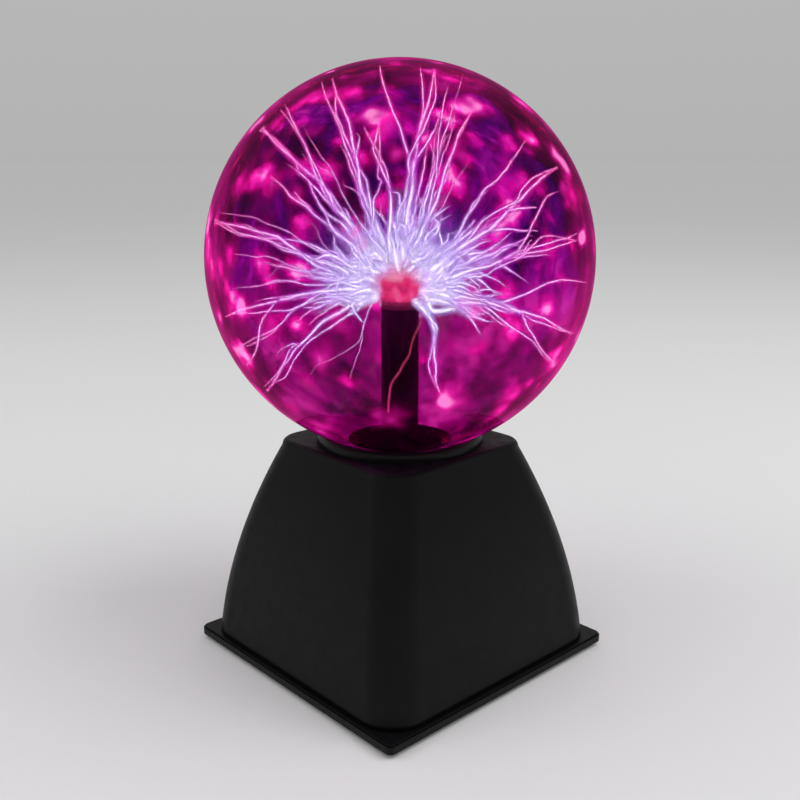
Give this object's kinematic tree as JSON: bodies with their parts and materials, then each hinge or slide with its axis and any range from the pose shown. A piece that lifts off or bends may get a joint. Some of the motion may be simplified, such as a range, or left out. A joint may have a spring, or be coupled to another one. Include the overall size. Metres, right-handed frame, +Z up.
{
  "type": "plasma ball",
  "caption": "Desk-top plasma ball: a gas-filled glass globe with a glowing central electrode, seated in a round collar on a square black bow-sided base.",
  "frame": {"origin": "on the ground, under the middle of the square base", "axes": "+Z up along the globe's axis, +Y out of the back face with the controls, X along the base's front and back edges"},
  "size_m": [0.15, 0.15, 0.238],
  "materials": {
    "globe_glass": "clear blown glass, polished",
    "stem_glass": "clear glass",
    "electrode_steel": "dark grey steel",
    "plasma": "glowing gas discharge, magenta to lavender",
    "sleeve_plastic": "matt black",
    "rod_steel": "drawn",
    "cap_plastic": "dark grey",
    "contact_brass": "bare",
    "black_rubber": "matt",
    "collar_plastic": "satin black, moulded",
    "housing_plastic": "fine-textured satin black, moulded",
    "plinth_plastic": "fine-textured satin black, moulded",
    "screw_steel": "zinc plated",
    "clamp_plastic": "dark grey, moulded",
    "board_laminate": "green solder mask",
    "ferrite": "sintered, dark grey",
    "bobbin_nylon": "natural nylon",
    "copper_wire": "enamelled wire",
    "taped_winding": "amber tape over fine wire",
    "red_silicone": "silicone rubber",
    "heatsink_aluminium": "extruded",
    "epoxy_black": "moulded epoxy",
    "capacitor_sleeve": "shrunk sleeve",
    "resistor_body": "lacquered",
    "trimmer_blue": "moulded",
    "microphone_can": "spun can",
    "jack_plastic": "moulded",
    "jack_contact": "nickelled",
    "jack_nut": "nickelled",
    "switch_steel": "tinned",
    "switch_knob": "moulded",
    "red_wire": "insulated wire",
    "blue_wire": "insulated wire",
    "white_wire": "insulated wire"
  },
  "bodies": {
    "base": {"glass_globe": "globe_glass", "electrode_stem": "stem_glass", "electrode_ball": "electrode_steel", "electrode_rod": "rod_steel", "stem_sleeve": "sleeve_plastic", "exhaust_tip": "stem_glass", "neck_cap": "cap_plastic", "contact_stud": "contact_brass", "neck_grommet": "black_rubber", "globe_gasket": "black_rubber", "collar_ring": "collar_plastic", "base_housing": "housing_plastic", "base_plate": "plinth_plastic", "rubber_foot_1": "black_rubber", "rubber_foot_2": "black_rubber", "rubber_foot_3": "black_rubber", "rubber_foot_4": "black_rubber", "base_screws": "screw_steel", "globe_clamp": "clamp_plastic", "clamp_screws": "screw_steel", "driver_board": "board_laminate", "board_screws": "screw_steel", "transformer_core_lower": "ferrite", "transformer_core_upper": "ferrite", "transformer_bobbin": "bobbin_nylon", "primary_winding": "copper_wire", "secondary_winding": "taped_winding", "high_voltage_boot": "red_silicone", "high_voltage_lead": "red_silicone", "heatsink": "heatsink_aluminium", "power_transistor": "epoxy_black", "heatsink_screw": "screw_steel", "filter_capacitor": "capacitor_sleeve", "audio_capacitor": "capacitor_sleeve", "resistors": "resistor_body", "timer_chip": "epoxy_black", "amplifier_chip": "epoxy_black", "gain_trimmer": "trimmer_blue", "microphone": "microphone_can", "microphone_grommet": "black_rubber", "dc_jack_body": "jack_plastic", "dc_jack_pin": "jack_contact", "dc_jack_nut": "jack_nut", "mode_switch_body": "switch_steel", "mode_switch_screws": "screw_steel", "supply_wires": "red_wire", "switch_wires": "blue_wire", "microphone_wires": "white_wire"},
    "mode_switch": {"mode_switch_slider": "switch_knob"}
  },
  "joints": [
    {"name": "mode_switch_slide", "type": "slide", "parent": "base", "child": "mode_switch", "axis": [1, 0, 0], "range_m": [-0.0025, 0.0025]}
  ]
}
